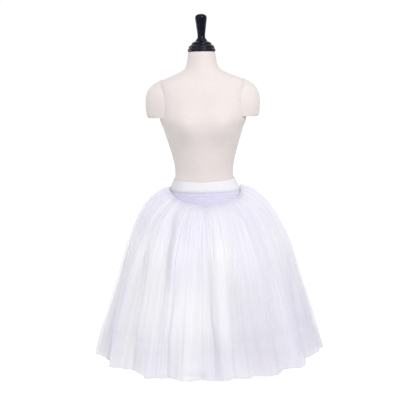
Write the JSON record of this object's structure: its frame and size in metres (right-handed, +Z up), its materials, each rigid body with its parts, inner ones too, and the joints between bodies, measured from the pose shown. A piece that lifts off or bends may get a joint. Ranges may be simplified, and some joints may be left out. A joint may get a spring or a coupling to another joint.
{
  "type": "rehearsal skirt on dress form",
  "caption": "Long white net rehearsal skirt with elastic waistband and dipped mesh yoke, gathered layers flaring to an uneven hem, worn on a cream limbless dress form with a stand.",
  "frame": {"origin": "on the floor under the centre of the stand's round foot, which is also the centre of the skirt's plan", "axes": "+Z up the form's pole, -Y towards the wearer's front, +X towards the wearer's left"},
  "size_m": [0.8269, 0.6879, 1.245],
  "materials": {
    "elastic": "white woven elastic with a fine rib and a small looped lower edge",
    "yoke_mesh": "fine stretch mesh, white with a pale lilac cast",
    "net": "stiff white tulle, matt, half see-through in one layer",
    "form_cloth": "cream plain-woven cover cloth, matt",
    "turned_cap": "glossy black lacquer",
    "stand_paint": "white satin paint"
  },
  "bodies": {
    "root": {"waistband": "elastic", "yoke_front": "yoke_mesh", "yoke_back": "yoke_mesh", "net_layer_1": "net", "net_layer_2": "net", "net_layer_3": "net", "net_layer_4": "net", "form_torso": "form_cloth", "shoulder_cap_left": "form_cloth", "shoulder_cap_right": "form_cloth", "neck_cap": "turned_cap", "stand_flange": "stand_paint", "stand_pole": "stand_paint", "stand_foot": "stand_paint"}
  },
  "joints": []
}
